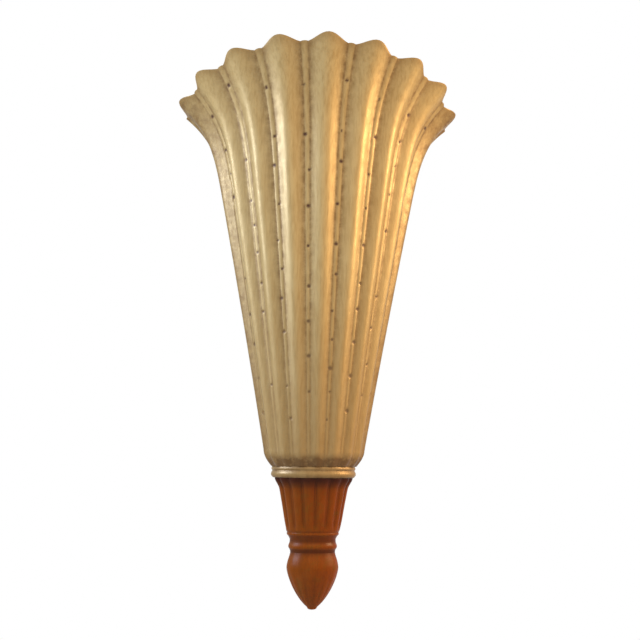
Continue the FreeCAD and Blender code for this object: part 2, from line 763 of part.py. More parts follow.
# ---------------------------------------------------------------- wiring
BLOCK_Y = BOARD_FACE + " - block_depth"
WAY_Y = BOARD_FACE + " - block_depth / 2"
BLOCK_Z = LEVEL + "block_level"
ways = ["-way_pitch", "0", "way_pitch"]
rows = ["block_height * 0.22", "block_height * 0.78"]
blank = block("block_blank", "block_width", "block_depth", "block_height", "-block_width / 2",
             BLOCK_Y, BLOCK_Z)
bores = [rod("way_bore_%d" % i, "way_radius", "block_height", x, WAY_Y, BLOCK_Z)
         for i, x in enumerate(ways)]
ports = [rod("port_%d_%d" % (i, j), "wire_radius + 2 * screw_clearance + 0.3", "block_depth / 2", x, WAY_Y,
             BLOCK_Z + " + " + z, "front")
         for i, x in enumerate(ways) for j, z in enumerate(rows)]
fixings = [rod("block_hole_%d" % i, HOLE, "block_depth", x, BOARD_FACE, BLOCK_SCREW_Z, "front")
           for i, x in enumerate(pair("way_pitch"))]
node(cut("terminal_block", blank, bores + ports + fixings), "terminal_block")
front_screws("terminal_fixings", [(x, BLOCK_SCREW_Z) for x in pair("way_pitch")], BLOCK_Y,
             "(board_thickness + block_depth)")

sleeves = []
for i, x in enumerate(ways):
    tube = rod("sleeve_%d" % i, "way_radius - screw_clearance", "block_height", x, WAY_Y, BLOCK_Z)
    bore = rod("sleeve_bore_%d" % i, "wire_radius + screw_clearance", "block_height", x, WAY_Y, BLOCK_Z)
    slots = [rod("sleeve_port_%d_%d" % (i, j), "wire_radius + screw_clearance + 0.3", "block_depth / 2", x,
                 WAY_Y, BLOCK_Z + " + " + z, "front") for j, z in enumerate(rows)]
    sleeves.append(cut("terminal_sleeve_%d" % i, tube, [bore] + slots))
node(group("terminal_sleeves", sleeves), "terminal_sleeves")
grubs = [rod("grub_%d_%d" % (i, j), "wire_radius + 0.3", "block_depth / 2 - wire_radius - screw_clearance",
             x, WAY_Y + " - wire_radius - screw_clearance", BLOCK_Z + " + " + z, "front")
         for i, x in enumerate(ways) for j, z in enumerate(rows)]
node(group("terminal_screws", grubs), "terminal_screws")

lip = "grommet_radius + grommet_lip"
GROMMET_Z = LEVEL + "grommet_level"
waist = rod("grommet_waist", "grommet_radius - screw_clearance", "board_thickness", "0", "-board_recess",
            GROMMET_Z, "front")
front_lip = rod("grommet_front_lip", lip, "grommet_lip / 2", "0", BOARD_FACE, GROMMET_Z, "front")
back_lip = rod("grommet_back_lip", lip, "grommet_lip / 2", "0", "-board_recess + grommet_lip / 2",
               GROMMET_Z, "front")
bore = rod("grommet_hole", "grommet_bore", "board_thickness * 3", "0", "0", GROMMET_Z, "front")
node(cut("cable_grommet", fused("grommet_blank", [waist, front_lip, back_lip]), [bore]), "cable_grommet")


def rounded_path(points):
    """Straight runs joined by tangent arcs, each as large as its two runs allow."""
    edges = []
    last = points[0]
    for i in range(1, len(points) - 1):
        back = points[i - 1] - points[i]
        ahead = points[i + 1] - points[i]
        run = 0.45 * min(back.Length, ahead.Length)
        back.normalize()
        ahead.normalize()
        start = points[i] + back * run
        stop = points[i] + ahead * run
        half = back.getAngle(ahead) / 2
        radius = run * math.tan(half)
        inward = (back + ahead).normalize()
        middle = points[i] + inward * (radius / math.sin(half) - radius)
        edges.append(Part.LineSegment(last, start).toShape())
        edges.append(Part.Arc(start, middle, stop).toShape())
        last = stop
        print("bend radius %.1f" % radius)
    edges.append(Part.LineSegment(last, points[-1]).toShape())
    return Part.Wire(edges)


def tube(points):
    """A round wire along the path."""
    path = rounded_path(points)
    ring = Part.Wire([Part.Circle(points[0], Vector(0, 0, 1), v.wire_radius).toShape()])
    solid = path.makePipeShell([ring], True, False)
    expected = math.pi * v.wire_radius ** 2 * path.Length
    if abs(solid.Volume - expected) > 0.01 * expected:
        raise RuntimeError("wire volume is off")
    return solid


way_y = BOARD_FRONT - v.block_depth / 2
block_foot = COLLAR + v.block_level
block_top = block_foot + v.block_height
shelf = COLLAR + v.bracket_level
nipple_gap = v.nipple_bore / 2
for name, side in (("wire_live", 1), ("wire_neutral", -1)):
    node(from_shape(name, tube([
        Vector(side * v.way_pitch, way_y, block_foot + v.block_height / 8),
        Vector(side * v.way_pitch, way_y, block_top + v.wire_lead),
        Vector(side * nipple_gap, -v.lamp_depth, shelf - v.nipple_below - v.nipple_lead),
        Vector(side * nipple_gap, -v.lamp_depth, shelf + v.thread_seat - v.insert_height),
    ])), name)
leg_y = BOARD_FRONT - v.bracket_sheet - v.wire_radius
node(from_shape("wire_earth", tube([
    Vector(0, way_y, block_foot + v.block_height / 8),
    Vector(0, way_y, block_top + v.nipple_lead),
    Vector(0, leg_y, shelf - v.bracket_drop - v.bracket_sheet * 2),
    Vector(0, leg_y, number(EARTH_Z) - v.screw_head_radius - v.cleat_gap),
])), "wire_earth")

# ---------------------------------------------------------------- check and write
doc.recompute()
for item in doc.Objects:
    if "Invalid" in item.State or "Error" in item.State:
        raise RuntimeError("%s failed: %s" % (item.Name, item.State))
os.makedirs("parts", exist_ok=True)
for item in NODES:
    if item.Shape.isNull() or not item.Shape.isValid():
        raise RuntimeError("%s has no valid shape" % item.Label)
    item.Shape.exportStep("parts/%s.step" % item.Label)
print("%d sub-parts written" % len(NODES))
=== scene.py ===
"""Shell wall sconce: the looks.

A half-oval uplighter of nine fluted lobes in aged gold leaf, over a red-brown reeded stem and bud.
Metres, +Z up, the wall is the plane Y = 0 and the room is towards -Y.
"""
import math
import random

import bpy
from bpy.props import FloatProperty, FloatVectorProperty, IntProperty, PointerProperty
from mathutils import Matrix, Vector


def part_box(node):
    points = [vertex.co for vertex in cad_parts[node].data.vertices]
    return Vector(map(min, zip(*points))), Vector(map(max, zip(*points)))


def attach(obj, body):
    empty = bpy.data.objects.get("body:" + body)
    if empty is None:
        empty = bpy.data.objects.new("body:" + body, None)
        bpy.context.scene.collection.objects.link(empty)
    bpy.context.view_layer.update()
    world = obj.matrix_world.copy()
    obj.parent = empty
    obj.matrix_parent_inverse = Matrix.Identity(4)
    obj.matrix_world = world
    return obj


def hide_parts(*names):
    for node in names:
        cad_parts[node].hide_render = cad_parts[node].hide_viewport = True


bl_info = {
    "name": "Shell wall sconce",
    "version": (1, 0, 0),
    "blender": (4, 5, 0),
    "location": "3D View > Sidebar > Sconce",
    "description": "Models and finishes a gilded shell wall sconce round its construction model",
    "category": "Object",
}

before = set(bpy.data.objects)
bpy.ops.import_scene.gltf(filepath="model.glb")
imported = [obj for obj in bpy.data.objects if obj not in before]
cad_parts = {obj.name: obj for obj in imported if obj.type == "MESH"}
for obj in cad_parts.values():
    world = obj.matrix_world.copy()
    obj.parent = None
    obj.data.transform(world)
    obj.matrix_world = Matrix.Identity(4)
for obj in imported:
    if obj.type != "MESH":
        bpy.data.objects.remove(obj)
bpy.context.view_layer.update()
MM = 0.001

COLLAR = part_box("collar")[0][2]          # lower edge of the gilded collar
COLLAR_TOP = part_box("collar")[1][2]
STEM_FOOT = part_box("stem")[0][2]
BEAD_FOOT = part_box("bead_ring")[0][2]
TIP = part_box("finial")[0][2]
FOOT = COLLAR_TOP - COLLAR               # the shell's foot: levels are above the collar's lower edge


# ------------------------------------------------------------------ sizes and colours
def linear(code):
    """A linear colour from an sRGB hex value."""
    channels = []
    for start in (1, 3, 5):
        value = int(code[start:start + 2], 16) / 255
        low = value / 12.92
        high = ((value + 0.055) / 1.055) ** 2.4
        channels.append(low if value <= 0.04045 else high)
    return (*channels, 1.0)


def colour(name, description, default):
    """A colour setting; its default is linear."""
    return FloatVectorProperty(name=name, description=description, subtype="COLOR", size=3,
                               default=default[:3], min=0, max=1)


class SconceSizes(bpy.types.PropertyGroup):
    """Sizes of the shell, stem and bud."""

    lobes: IntProperty(name="Lobes", description="Convex lobes round the half oval", default=9)
    reeds: IntProperty(name="Reeds", description="Reeds round the stem", default=8)
    base_half_width: FloatProperty(
        name="Base half width", description="Shell just above its rounded foot",
        default=49.6 * MM, unit="LENGTH")
    foot_rise: FloatProperty(
        name="Foot rise", description="Height of the rounded foot", default=15.5 * MM, unit="LENGTH")
    foot_inset: FloatProperty(
        name="Foot inset", description="How far the foot draws in", default=8.1 * MM, unit="LENGTH")
    foot_roundness: FloatProperty(
        name="Foot roundness", description="Exponent of the foot's curve", default=1.8)
    taper: FloatProperty(
        name="Taper", description="Half width gained for each unit of height", default=0.18)
    swell: FloatProperty(
        name="Swell", description="Extra half width at the swell height", default=3.4 * MM,
        unit="LENGTH")
    swell_height: FloatProperty(
        name="Swell height", description="Height at which the swell is reached",
        default=229 * MM, unit="LENGTH")
    lip_level: FloatProperty(
        name="Lip level", description="Where the lip starts to roll out, above the collar",
        default=255 * MM, unit="LENGTH")
    lip_flare: FloatProperty(
        name="Lip flare", description="How far the lip rolls out", default=28 * MM, unit="LENGTH")
    lip_roundness: FloatProperty(
        name="Lip roundness", description="Exponent of the lip's curve", default=4.3)
    rim_level: FloatProperty(
        name="Rim level", description="Rim at the wall, above the collar", default=358 * MM,
        unit="LENGTH")
    rim_rise: FloatProperty(
        name="Rim rise", description="Height the rim gains for each unit of depth", default=0.64)
    depth_ratio: FloatProperty(
        name="Depth ratio", description="Depth of the half oval over its half width", default=0.65)
    lobe_relief: FloatProperty(
        name="Lobe relief", description="Groove depth at the rim over the half width",
        default=0.073)
    foot_relief: FloatProperty(
        name="Foot relief", description="Groove depth at the foot over the half width",
        default=0.03)
    strip_angle: FloatProperty(
        name="Strip angle", description="Width of the fillet between two lobes",
        default=math.radians(3.3), subtype="ANGLE")
    lobe_wave: FloatProperty(
        name="Lobe wave", description="0 for lobes of a plain arc, 1 for a full wave",
        default=0.65)
    scallop: FloatProperty(
        name="Scallop", description="How far the rim dips in a groove", default=2.6 * MM,
        unit="LENGTH")
    wall: FloatProperty(
        name="Wall", description="Thickness of the shell", default=6 * MM, unit="LENGTH")
    edge_round: FloatProperty(
        name="Edge round", description="Height of the rounding on the rim", default=1.0 * MM,
        unit="LENGTH")
    floor_level: FloatProperty(
        name="Floor level", description="Inner floor of the shell, above the collar",
        default=30 * MM, unit="LENGTH")
    pit_spacing: FloatProperty(
        name="Pit spacing", description="Mean distance between two pits down a groove",
        default=28 * MM, unit="LENGTH")
    pit_radius: FloatProperty(
        name="Pit radius", description="Mean radius of a pit", default=1.7 * MM, unit="LENGTH")
    pit_depth: FloatProperty(
        name="Pit depth", description="Depth of a pit", default=0.5 * MM, unit="LENGTH")


class SconceColours(bpy.types.PropertyGroup):
    """Colours of the gilding, the wood and the stage."""

    leaf_full: colour("Leaf", "Gold leaf where it lies full", linear("#C2A873"))
    leaf_thin: colour("Thin leaf", "Gold leaf where it is thinner", linear("#B09058"))
    leaf_streak: colour("Streaks", "Brushed streaks down the flutes", linear("#96763E"))
    # painted shade: the leaf darkens towards the foot, where the side light is dim
    foot_dimming_shade: colour("Foot wax", "Wax towards the foot of the shell", linear("#8B6732"))
    # dark of the grooves, partly real wax and partly painted shade; it also colours the painted shade
    # by the wall, under the foot and in the collar
    toning_and_shade: colour("Toning", "Dark wax in the grooves", linear("#6A4A1E"))
    # painted shade on the lip, where it turns down away from the lights
    lip_shade: colour("Rim wear", "Worn edge of the lip", linear("#8A6836"))
    pit_dark: colour("Pits", "Bottom of the old pits", linear("#472409"))
    wood_light: colour("Light stain", "Stained wood between the grain", linear("#8E4605"))
    wood_dark: colour("Dark stain", "Stained wood in the grain", linear("#6A2F01"))
    wood_worn: colour("Worn stain", "Stain rubbed by handling", linear("#8A4718"))
    old_varnish: colour("Old varnish", "Blotches of turned varnish", linear("#6B430B"))
    # painted shade in the grooves, the coves and under the collar
    wood_groove_shade: colour("Wood grooves", "Stain gathered in the grooves", linear("#3C1502"))
    backdrop: colour("Backdrop", "Colour behind the sconce", (1.0, 1.0, 1.0))
    floor: colour("Floor", "Colour of the floor", (0.8, 0.8, 0.79))


# ------------------------------------------------------------------ node helper
FACTOR, FIRST, SECOND, MIXED = 0, 6, 7, 2    # a colour Mix node's sockets, and its output
PLAIN = (1.0, 1.0, 1.0)                      # a pattern that isn't stretched


def add(tree, kind, values=None, links=None, **settings):
    """A node with its settings, socket values and incoming links."""
    item = tree.nodes.new(kind)
    for key, value in settings.items():
        setattr(item, key, value)
    for socket, value in (values or {}).items():
        item.inputs[socket].default_value = value
    for socket, source in (links or {}).items():
        tree.links.new(source, item.inputs[socket])
    return item


def opaque(setting):
    """A colour setting with its alpha."""
    return (*setting, 1.0)


def new_material(name):
    """An empty material and its tree, with a Principled shader on its output."""
    material = bpy.data.materials.new(name)
    material.use_nodes = True
    tree = material.node_tree
    tree.nodes.clear()
    shader = add(tree, "ShaderNodeBsdfPrincipled")
    add(tree, "ShaderNodeOutputMaterial", links={"Surface": shader.outputs[0]})
    return material, tree, shader


def per_metre(millimetres):
    """Noise scale whose features are about this many millimetres across."""
    return 1000 / millimetres


# ------------------------------------------------------------------ materials
def gold_leaf(colours):
    """Aged gold leaf over composition: pale champagne, satin, darkened brown in the grooves by wax and
    painted shade, with painted shade on the sides, foot and lip.
    """
    material, tree, shader = new_material("aged_gold_leaf")
    place = add(tree, "ShaderNodeTexCoord").outputs["Object"]
    groove = add(tree, "ShaderNodeAttribute", attribute_name="groove").outputs["Fac"]
    pit = add(tree, "ShaderNodeAttribute", attribute_name="pit").outputs["Fac"]
    edge = add(tree, "ShaderNodeAttribute", attribute_name="edge").outputs["Fac"]
    # clouds of thinner and thicker leaf, a hand's breadth across
    clouds = add(tree, "ShaderNodeTexNoise",
                 {"Scale": per_metre(60), "Detail": 4.0, "Roughness": 0.6}, {"Vector": place})
    # brushed streaks that run down the flutes
    along = add(tree, "ShaderNodeMapping", {"Scale": (1.0, 1.0, 0.07)}, {"Vector": place})
    streaks = add(tree, "ShaderNodeTexNoise",
                  {"Scale": per_metre(2.6), "Detail": 3.0, "Roughness": 0.6},
                  {"Vector": along.outputs[0]})
    # mottling of the dark wax and painted shade, a few millimetres across
    mottle = add(tree, "ShaderNodeTexNoise",
                 {"Scale": per_metre(7), "Detail": 5.0, "Roughness": 0.65}, {"Vector": place})
    leaf = add(tree, "ShaderNodeMix",
               {FIRST: opaque(colours.leaf_full), SECOND: opaque(colours.leaf_thin)},
               {FACTOR: clouds.outputs["Fac"]}, data_type="RGBA")
    streak_amount = add(tree, "ShaderNodeMapRange",
                        {"From Min": 0.42, "From Max": 0.7, "To Min": 0.0, "To Max": 0.5},
                        {"Value": streaks.outputs["Fac"]})
    streaked = add(tree, "ShaderNodeMix", {SECOND: opaque(colours.leaf_streak)},
                   {FACTOR: streak_amount.outputs[0], FIRST: leaf.outputs[MIXED]}, data_type="RGBA")
    # painted shade: the leaf darkens towards the foot, where the side light is dim
    height = add(tree, "ShaderNodeSeparateXYZ", links={0: place}).outputs["Z"]
    low = add(tree, "ShaderNodeMapRange",
              {"From Min": COLLAR_TOP, "From Max": COLLAR + 205 * MM, "To Min": 0.62, "To Max": 0.0},
              {"Value": height})
    foot_shaded = add(tree, "ShaderNodeMix", {SECOND: opaque(colours.foot_dimming_shade)},
                {FACTOR: low.outputs[0], FIRST: streaked.outputs[MIXED]}, data_type="RGBA")
    tone_noise = add(tree, "ShaderNodeMapRange",
                     {"From Min": 0.35, "From Max": 0.65, "To Min": 0.4, "To Max": 1.1},
                     {"Value": mottle.outputs["Fac"]})
    tone = add(tree, "ShaderNodeMath", links={0: groove, 1: tone_noise.outputs[0]},
               operation="MULTIPLY")
    # painted shade, with some real wax in the grooves: the groove attribute darkens the grooves, the
    # sides by the wall, the foot and the collar's creases
    toned_and_shaded = add(tree, "ShaderNodeMix", {SECOND: opaque(colours.toning_and_shade)},
                {FACTOR: tone.outputs[0], FIRST: foot_shaded.outputs[MIXED]}, data_type="RGBA")
    # painted shade on the lip, where it turns down away from the lights
    lip_shaded = add(tree, "ShaderNodeMix", {SECOND: opaque(colours.lip_shade)},
                {FACTOR: edge, FIRST: toned_and_shaded.outputs[MIXED]}, data_type="RGBA")
    pitted = add(tree, "ShaderNodeMix", {SECOND: opaque(colours.pit_dark)},
                 {FACTOR: pit, FIRST: lip_shaded.outputs[MIXED]}, data_type="RGBA")
    tree.links.new(pitted.outputs[MIXED], shader.inputs["Base Color"])
    rough = add(tree, "ShaderNodeMapRange",
                {"From Min": 0.3, "From Max": 0.7, "To Min": 0.36, "To Max": 0.5},
                {"Value": mottle.outputs["Fac"]})
    tree.links.new(rough.outputs[0], shader.inputs["Roughness"])
    # under one: the wax over the leaf dulls it
    shader.inputs["Metallic"].default_value = 0.25
    fine = add(tree, "ShaderNodeBump", {"Strength": 0.35, "Distance": 0.25 * MM},
               {"Height": streaks.outputs["Fac"]})
    soft = add(tree, "ShaderNodeBump", {"Strength": 0.4, "Distance": 0.5 * MM},
               {"Height": mottle.outputs["Fac"], "Normal": fine.outputs[0]})
    tree.links.new(soft.outputs[0], shader.inputs["Normal"])
    return material


def stained_wood(colours):
    """Stained hardwood, oiled: red-brown, grain down its length, semi-gloss."""
    material, tree, shader = new_material("stained_hardwood")
    place = add(tree, "ShaderNodeTexCoord").outputs["Object"]
    groove = add(tree, "ShaderNodeAttribute", attribute_name="groove").outputs["Fac"]
    along = add(tree, "ShaderNodeMapping", {"Scale": (1.0, 1.0, 0.08)}, {"Vector": place})
    grain = add(tree, "ShaderNodeTexNoise",
                {"Scale": per_metre(1.8), "Detail": 4.0, "Roughness": 0.65},
                {"Vector": along.outputs[0]})
    patches = add(tree, "ShaderNodeTexNoise",
                  {"Scale": per_metre(16), "Detail": 3.0}, {"Vector": place})
    stain = add(tree, "ShaderNodeMix",
                {FIRST: opaque(colours.wood_light), SECOND: opaque(colours.wood_dark)},
                {FACTOR: grain.outputs["Fac"]}, data_type="RGBA")
    worn_amount = add(tree, "ShaderNodeMapRange",
                      {"From Min": 0.5, "From Max": 0.75, "To Min": 0.0, "To Max": 0.5},
                      {"Value": patches.outputs["Fac"]})
    worn = add(tree, "ShaderNodeMix", {SECOND: opaque(colours.wood_worn)},
               {FACTOR: worn_amount.outputs[0], FIRST: stain.outputs[MIXED]}, data_type="RGBA")
    # olive-brown blotches where the old varnish has turned
    blotches = add(tree, "ShaderNodeTexNoise",
                   {"Scale": per_metre(8), "Detail": 5.0, "Roughness": 0.7}, {"Vector": place})
    turned_amount = add(tree, "ShaderNodeMapRange",
                        {"From Min": 0.5, "From Max": 0.68, "To Min": 0.0, "To Max": 0.6},
                        {"Value": blotches.outputs["Fac"]})
    turned = add(tree, "ShaderNodeMix", {SECOND: opaque(colours.old_varnish)},
                 {FACTOR: turned_amount.outputs[0], FIRST: worn.outputs[MIXED]}, data_type="RGBA")
    # painted shade: the groove attribute darkens the reeds' grooves, the coves and the top under the
    # collar
    dark = add(tree, "ShaderNodeMix", {SECOND: opaque(colours.wood_groove_shade)},
               {FACTOR: groove, FIRST: turned.outputs[MIXED]}, data_type="RGBA")
    tree.links.new(dark.outputs[MIXED], shader.inputs["Base Color"])
    rough = add(tree, "ShaderNodeMapRange",
                {"From Min": 0.3, "From Max": 0.7, "To Min": 0.3, "To Max": 0.46},
                {"Value": patches.outputs["Fac"]})
    tree.links.new(rough.outputs[0], shader.inputs["Roughness"])
    shader.inputs["Specular IOR Level"].default_value = 0.14
    bump = add(tree, "ShaderNodeBump", {"Strength": 0.3, "Distance": 0.2 * MM},
               {"Height": grain.outputs["Fac"]})
    tree.links.new(bump.outputs[0], shader.inputs["Normal"])
    return material


def two_tone(name, light, dark, grain_mm, metallic, low, high, stretch=PLAIN, bump_mm=0.05):
    """A material of two close tones in a noise of a real size, with its roughness and bump."""
    material, tree, shader = new_material(name)
    place = add(tree, "ShaderNodeTexCoord").outputs["Object"]
    scaled = add(tree, "ShaderNodeMapping", {"Scale": stretch}, {"Vector": place})
    noise = add(tree, "ShaderNodeTexNoise",
                {"Scale": per_metre(grain_mm), "Detail": 4.0, "Roughness": 0.6},
                {"Vector": scaled.outputs[0]})
    tone = add(tree, "ShaderNodeMix", {FIRST: linear(light), SECOND: linear(dark)},
               {FACTOR: noise.outputs["Fac"]}, data_type="RGBA")
    tree.links.new(tone.outputs[MIXED], shader.inputs["Base Color"])
    rough = add(tree, "ShaderNodeMapRange",
                {"From Min": 0.3, "From Max": 0.7, "To Min": low, "To Max": high},
                {"Value": noise.outputs["Fac"]})
    tree.links.new(rough.outputs[0], shader.inputs["Roughness"])
    shader.inputs["Metallic"].default_value = metallic
    bump = add(tree, "ShaderNodeBump", {"Strength": 0.3, "Distance": bump_mm * MM},
               {"Height": noise.outputs["Fac"]})
    tree.links.new(bump.outputs[0], shader.inputs["Normal"])
    return material


def blown_glass():
    """Clear blown glass of the lamp: thin, colourless, with a trace of waviness in its gloss."""
    material, tree, shader = new_material("blown_glass")
    shader.inputs["Base Color"].default_value = linear("#F8F6F0")
    shader.inputs["Transmission Weight"].default_value = 1.0
    shader.inputs["IOR"].default_value = 1.47
    place = add(tree, "ShaderNodeTexCoord").outputs["Object"]
    noise = add(tree, "ShaderNodeTexNoise", {"Scale": per_metre(20)}, {"Vector": place})
    rough = add(tree, "ShaderNodeMapRange",
                {"From Min": 0.3, "From Max": 0.7, "To Min": 0.02, "To Max": 0.07},
                {"Value": noise.outputs["Fac"]})
    tree.links.new(rough.outputs[0], shader.inputs["Roughness"])
    return material


# ------------------------------------------------------------------ modelling helpers
SMOOTH_ANGLE = math.radians(50)              # sharper edges than this stay crisp


def grid(name, columns, rows):
    """A grid primitive, alone in the selection; its columns run along X and its rows along Y."""
    bpy.ops.object.select_all(action="DESELECT")
    bpy.ops.mesh.primitive_grid_add(x_subdivisions=columns - 1, y_subdivisions=rows - 1, size=1)
    piece = bpy.context.object
    piece.name = name
    piece.data.name = name
    return piece


def close_and_smooth(piece):
    """Merge the doubled points, close the two flat ends, turn the faces outwards and shade."""
    bpy.ops.object.mode_set(mode="EDIT")
    bpy.ops.mesh.select_all(action="SELECT")
    bpy.ops.mesh.remove_doubles(threshold=1e-6)
    bpy.ops.mesh.select_all(action="DESELECT")
    bpy.ops.mesh.select_non_manifold(extend=False)
    bpy.ops.mesh.edge_face_add()
    bpy.ops.mesh.select_all(action="SELECT")
    bpy.ops.mesh.normals_make_consistent(inside=False)
    bpy.ops.object.mode_set(mode="OBJECT")
    bpy.ops.object.shade_smooth_by_angle(angle=SMOOTH_ANGLE)


def point_attribute(piece, name, values):
    """A number for each point, for the material to read."""
    layer = piece.data.attributes.new(name, "FLOAT", "POINT")
    layer.data.foreach_set("value", values)


def finish_piece(piece, material, body, *nodes):
    """Give a piece its finish, its body and the nodes that it stands for."""
    piece.data.materials.clear()
    piece.data.materials.append(material)
    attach(piece, body)
    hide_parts(*nodes)


def smoothstep(value):
    """0 to 1 with soft ends."""
    value = min(max(value, 0.0), 1.0)
    return value * value * (3 - 2 * value)


def lobe_angles(count, strip, across, over):
    """Angles from -90 to 90 degrees: so many points across a lobe, and so many over a strip."""
    pitch = math.pi / count
    half = (pitch - strip) / 2
    angles = []
    for i in range(count):
        middle = -math.pi / 2 + pitch * (i + 0.5)
        edge = middle - pitch / 2
        steps = over // 2 if i == 0 else over
        begin = edge if i == 0 else edge - strip / 2
        width = middle - half - begin
        angles += [begin + width * k / steps for k in range(steps)]
        angles += [middle - half + 2 * half * k / across for k in range(across)]
    last = math.pi / 2 - strip / 2
    angles += [last + strip / 2 * k / (over // 2) for k in range(over // 2 + 1)]
    return angles


def lobe_shape(angle, count, strip, wave=0.0):
    """(height of the lobe 0 to 1, nearness to the groove 0 to 1); wave turns an arc into a wave."""
    pitch = math.pi / count
    offset = (angle + math.pi / 2) % pitch - pitch / 2
    half = (pitch - strip) / 2
    if abs(offset) >= half:
        # the fillet strip: a shallow bead in the bottom of the groove, with painted shade in the
        # creases at its edges and little along its middle
        along = (pitch / 2 - abs(offset)) / (strip / 2)
        return 0.08 * (1 - along * along), 0.5 + 0.5 * along * along
    share = offset / half
    arc = 1 - share * share
    return arc + wave * (0.5 + 0.5 * math.cos(math.pi * share) - arc), abs(share)


# ------------------------------------------------------------------ shell
LOBE_POINTS = 14                             # points across a lobe, and over a strip
STRIP_POINTS = 6
OUTER_ROWS = 300                             # close rows outside, for the pits
LIP_ROWS = 8
INNER_ROWS = 60

FLOOR_TONE = 0.6                             # how dark the inner floor is made: 0 is bare leaf, 1 is the full dark colour
INSIDE_TONE = 0.35
INSIDE_GROOVE_TONE = 0.4
# the grooves: partly real wax, partly painted shade in the hollows
GROOVE_TONE = 0.85
# painted shade on the outer lobes by the wall, which face away from the lights
SIDE_SHADE = 0.9
SIDE_FROM = math.radians(62)                 # where the painted shade on the outer lobes by the wall starts
SIDE_SPREAD = math.radians(22)
FOOT_SHADE = 1.5                              # painted shade under the rounded foot; over one, so that the line stays dark in the mottling
FOOT_BAND = 14 * MM                          # height of the painted shade round the foot
GROOVE_RISE = 12                             # foot bands up to where the grooves are fully darkened
RIM_SHADE = 0.55
RIM_BAND = 6 * MM                            # height of the painted shade on the lip

PIT_SEED = 11
PIT_START = (12, 30)                         # first pit below the rim, mm
PIT_MISSING = 0.12                           # share of the pits that have filled
PIT_REACH = 1.35                             # how far a pit shows, in radii
PIT_SLOPE = 0.8                              # width of its side, in radii
PIT_ROWS = 3                                 # rows further off than this, in radii, are passed over
PIT_SPREAD = 0.15                            # and columns further round than this, in radians


def half_width(sizes, level):
    """Half width of the shell at the wall, at a level above the collar's lower edge."""
    foot_top = FOOT + sizes.foot_rise
    if level < foot_top:
        drop = (foot_top - level) / sizes.foot_rise
        return sizes.base_half_width - sizes.foot_inset * drop ** sizes.foot_roundness
    up = level - foot_top
    width = sizes.base_half_width + sizes.taper * up + sizes.swell * (up / sizes.swell_height) ** 2
    if level > sizes.lip_level:
        share = (level - sizes.lip_level) / (sizes.rim_level - sizes.lip_level)
        width += sizes.lip_flare * share ** sizes.lip_roundness
    return width


def relief(sizes, level):
    """Groove depth as a share of the half width."""
    share = max(level - FOOT, 0) / (sizes.rim_level - FOOT)
    return sizes.foot_relief + (sizes.lobe_relief - sizes.foot_relief) * math.sqrt(share)


def tilt(sizes, level):
    """How steeply the section through a level climbs towards the front."""
    share = max(level - sizes.floor_level, 0) / (sizes.rim_level - sizes.floor_level)
    return sizes.rim_rise * share ** 2


def shell_point(sizes, angle, level, inset, height):
    """A point on the shell's outer face, or inset from it."""
    width = half_width(sizes, level) - inset
    depth = half_width(sizes, level) * sizes.depth_ratio - inset
    radius = 1 - relief(sizes, level) * (1 - height)
    out = depth * radius * math.cos(angle)
    dip = sizes.scallop * (1 - height) * smoothstep((level - sizes.lip_level)
                                                    / (sizes.rim_level - sizes.lip_level))
    return Vector((width * radius * math.sin(angle), -out,
                   COLLAR + level + tilt(sizes, level) * out - dip))


def shell_profile(sizes):
    """(level, inset) rows: under the foot, up the outside, over the lip and down the inside.

    The first and last rows have no inset: they are the middles of the foot and of the inner floor.
    """
    edge = sizes.rim_level - sizes.edge_round
    rows = [(FOOT, None)]
    for k in range(OUTER_ROWS + 1):
        rows.append((FOOT + (edge - FOOT) * k / OUTER_ROWS, 0.0))
    for k in range(1, LIP_ROWS):
        turn = math.pi * k / LIP_ROWS
        rows.append((edge + sizes.edge_round * math.sin(turn),
                     sizes.wall / 2 * (1 - math.cos(turn))))
    for k in range(INNER_ROWS + 1):
        rows.append((edge - (edge - sizes.floor_level) * k / INNER_ROWS, sizes.wall))
    rows.append((sizes.floor_level, None))
    return rows


def leaf_toning_and_shade(angle, level, inset, near):
    """How dark the leaf is made: wax and painted shade in the grooves, painted shade on the sides by
    the wall and under the foot, darker all over inside.
    """
    # darker inside, darker still along the inner grooves
    if inset > 0.0:
        return INSIDE_TONE + INSIDE_GROOVE_TONE * near ** 4
    rise = (level - FOOT) / FOOT_BAND
    groove = near ** 3 * (0.5 + 0.5 * smoothstep(rise / GROOVE_RISE)) * GROOVE_TONE
    side = SIDE_SHADE * smoothstep((abs(angle) - SIDE_FROM) / SIDE_SPREAD)
    foot_underside_shade = FOOT_SHADE * smoothstep(1.3 - 1.3 * rise)
    return max(groove, side, foot_underside_shade)


def pits(sizes):
    """Where the old pin pits lie: (angle, level, radius, depth), in irregular rows down the grooves."""
    chance = random.Random(PIT_SEED)
    spots = []
    pitch = math.pi / sizes.lobes
    for i in range(1, sizes.lobes):
        level = sizes.rim_level - chance.uniform(*PIT_START) * MM
        while level > FOOT + 2 * sizes.foot_rise:
            if chance.random() > PIT_MISSING:
                radius = sizes.pit_radius * chance.uniform(0.65, 1.25)
                side = chance.uniform(-0.35, 0.35) * sizes.strip_angle
                spots.append((-math.pi / 2 + pitch * i + side, level, radius,
                              sizes.pit_depth * chance.uniform(0.5, 1.1)))
            level -= sizes.pit_spacing * chance.uniform(0.75, 1.3)
    return spots


